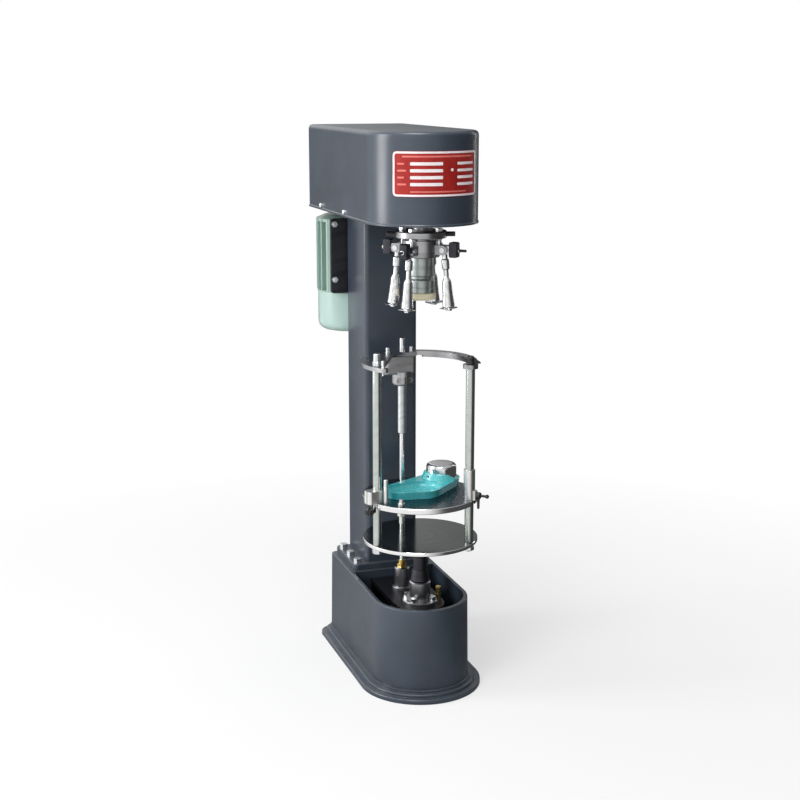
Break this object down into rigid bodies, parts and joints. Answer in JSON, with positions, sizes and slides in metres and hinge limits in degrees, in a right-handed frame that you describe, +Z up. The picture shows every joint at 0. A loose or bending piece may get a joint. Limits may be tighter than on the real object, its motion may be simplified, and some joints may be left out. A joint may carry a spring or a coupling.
{
  "type": "capping machine",
  "caption": "Bench capping machine: a box column carries a belt-driven head with closing rollers over a lifting bottle table on a D-shaped base.",
  "frame": {"origin": "where the spindle's axis meets the plane that the machine stands on", "axes": "+Z up along the spindle, +Y from the spindle back to the column, +X to the right"},
  "size_m": [0.2216, 0.52, 0.98],
  "materials": {
    "casting_paint": "dark blue-grey gloss paint, slightly textured",
    "dark_iron": "dark machined iron",
    "mint_paint": "pale mint green paint",
    "zinc_steel": "zinc plated",
    "turned_steel": "turned and ground",
    "bright_chrome": "polished",
    "table_fitting": "light satin",
    "yellow_brass": "plain",
    "pulley_iron": "machined",
    "black_rubber": "matt",
    "black_steel": "black oxide",
    "black_plastic": "black",
    "cream_plastic": "cream",
    "teal_plastic": "teal, glossy"
  },
  "bodies": {
    "frame": {"base_foot": "casting_paint", "base_casing": "casting_paint", "guide_bracket": "dark_iron", "lift_bush": "turned_steel", "base_bolts": "zinc_steel", "brass_fittings": "yellow_brass", "guide_rod": "bright_chrome", "column": "casting_paint", "column_bolts": "zinc_steel", "head_plate": "dark_iron", "head_cover": "casting_paint", "cover_screws": "zinc_steel", "bearing_housing": "dark_iron", "spindle_bearings": "turned_steel", "drive_belt": "black_rubber", "motor_plate": "dark_iron", "motor_housing": "mint_paint", "fan_cowl": "mint_paint"},
    "motor_rotor": {"motor_shaft": "turned_steel", "motor_pulley": "pulley_iron", "cooling_fan": "black_plastic"},
    "spindle": {"spindle_shaft": "turned_steel", "spindle_pulley": "pulley_iron", "collar_ring": "turned_steel", "ring_screws": "black_steel", "stop_bolts": "zinc_steel", "lever_carrier": "turned_steel", "pivot_pins": "zinc_steel"},
    "press": {"press_rod": "turned_steel", "press_nose": "turned_steel", "press_pad": "cream_plastic", "press_spring": "turned_steel"},
    "carriage": {"lower_disc": "bright_chrome", "lift_shaft": "dark_iron", "pillars": "bright_chrome", "carriage_nuts": "zinc_steel", "guide_sleeve": "turned_steel", "rear_clamp": "turned_steel", "left_arm": "turned_steel", "right_arm": "turned_steel"},
    "lift_fork": {"lift_lever": "turned_steel"},
    "bottle_table": {"upper_disc": "bright_chrome", "table_fittings": "table_fitting", "locator_post": "bright_chrome"},
    "locator": {"bottle_locator": "teal_plastic"},
    "left_knob": {"clamp_knob": "black_plastic"},
    "right_handle": {"clamp_handle": "black_plastic"},
    "top_wing": {"wing_knob": "black_plastic"},
    "lever_arm_1": {"lever_1": "bright_chrome", "lever_stud_1": "black_steel"},
    "closing_roller_1": {"roller_1": "bright_chrome"},
    "lever_arm_2": {"lever_2": "bright_chrome", "lever_stud_2": "black_steel"},
    "closing_roller_2": {"roller_2": "bright_chrome"},
    "lever_arm_3": {"lever_3": "bright_chrome", "lever_stud_3": "black_steel"},
    "closing_roller_3": {"roller_3": "bright_chrome"},
    "lever_arm_4": {"lever_4": "bright_chrome", "lever_stud_4": "black_steel"},
    "closing_roller_4": {"roller_4": "bright_chrome"}
  },
  "joints": [
    {"name": "spindle_spin", "type": "hinge", "parent": "frame", "child": "spindle", "pos_m": [0, 0, 0.85], "axis": [0, 0, 1], "continuous": true},
    {"name": "motor_spin", "type": "hinge", "parent": "frame", "child": "motor_rotor", "pos_m": [-0.021, 0.345, 0.85], "axis": [0, 0, 1], "continuous": true},
    {"name": "press_slide", "type": "slide", "parent": "spindle", "child": "press", "axis": [0, 0, 1], "range_m": [0, 0.00334], "stiffness_N_per_m": 1500, "springref_m": -0.003, "deforming": ["press_spring"]},
    {"name": "lever_1_swing", "type": "hinge", "parent": "spindle", "child": "lever_arm_1", "pos_m": [0.03111, 0.03111, 0.782], "axis": [-0.7071, 0.7071, 0], "range_deg": [0, 8.01]},
    {"name": "roller_1_spin", "type": "hinge", "parent": "lever_arm_1", "child": "closing_roller_1", "pos_m": [0.03717, 0.03717, 0.68407], "axis": [-0.0616, -0.0616, 0.9962], "continuous": true},
    {"name": "lever_2_swing", "type": "hinge", "parent": "spindle", "child": "lever_arm_2", "pos_m": [-0.03111, 0.03111, 0.782], "axis": [-0.7071, -0.7071, 0], "range_deg": [0, 8.01]},
    {"name": "roller_2_spin", "type": "hinge", "parent": "lever_arm_2", "child": "closing_roller_2", "pos_m": [-0.03717, 0.03717, 0.68407], "axis": [0.0616, -0.0616, 0.9962], "continuous": true},
    {"name": "lever_3_swing", "type": "hinge", "parent": "spindle", "child": "lever_arm_3", "pos_m": [-0.03111, -0.03111, 0.782], "axis": [0.7071, -0.7071, 0], "range_deg": [0, 8.01]},
    {"name": "roller_3_spin", "type": "hinge", "parent": "lever_arm_3", "child": "closing_roller_3", "pos_m": [-0.03717, -0.03717, 0.68407], "axis": [0.0616, 0.0616, 0.9962], "continuous": true},
    {"name": "lever_4_swing", "type": "hinge", "parent": "spindle", "child": "lever_arm_4", "pos_m": [0.03111, -0.03111, 0.782], "axis": [0.7071, 0.7071, 0], "range_deg": [0, 8.01]},
    {"name": "roller_4_spin", "type": "hinge", "parent": "lever_arm_4", "child": "closing_roller_4", "pos_m": [0.03717, -0.03717, 0.68407], "axis": [-0.0616, 0.0616, 0.9962], "continuous": true},
    {"name": "table_lift", "type": "slide", "parent": "frame", "child": "carriage", "axis": [0, 0, 1], "range_m": [0, 0.06]},
    {"name": "lift_lever_swing", "type": "hinge", "parent": "frame", "child": "lift_fork", "pos_m": [0, 0.136, 0.092], "axis": [-1, 0, 0], "range_deg": [0, 24.9]},
    {"name": "table_height", "type": "slide", "parent": "carriage", "child": "bottle_table", "axis": [0, 0, 1], "range_m": [-0.04, 0.15]},
    {"name": "locator_swing", "type": "hinge", "parent": "bottle_table", "child": "locator", "pos_m": [0.054, 0.04, 0.36], "axis": [0, 0, 1], "range_deg": [-10, 5]},
    {"name": "clamp_knob_turn", "type": "hinge", "parent": "bottle_table", "child": "left_knob", "pos_m": [-0.1046, -0.03546, 0.337], "axis": [0, 0, 1], "continuous": true},
    {"name": "clamp_handle_turn", "type": "hinge", "parent": "bottle_table", "child": "right_handle", "pos_m": [0.07754, -0.07183, 0.36], "axis": [0.7336, -0.6796, 0], "range_deg": [-90, 90]},
    {"name": "wing_knob_turn", "type": "hinge", "parent": "carriage", "child": "top_wing", "pos_m": [0.068, -0.063, 0.598], "axis": [0, 0, 1], "continuous": true}
  ],
  "couplings": [
    {"joint": "motor_spin", "follows": "spindle_spin", "ratio": 2.6763},
    {"joint": "lever_1_swing", "follows": "press_slide", "rad_per_m": 41.804},
    {"joint": "lever_2_swing", "follows": "press_slide", "rad_per_m": 41.804},
    {"joint": "lever_3_swing", "follows": "press_slide", "rad_per_m": 41.804},
    {"joint": "lever_4_swing", "follows": "press_slide", "rad_per_m": 41.804},
    {"joint": "lift_lever_swing", "follows": "table_lift", "rad_per_m": 7.237}
  ]
}
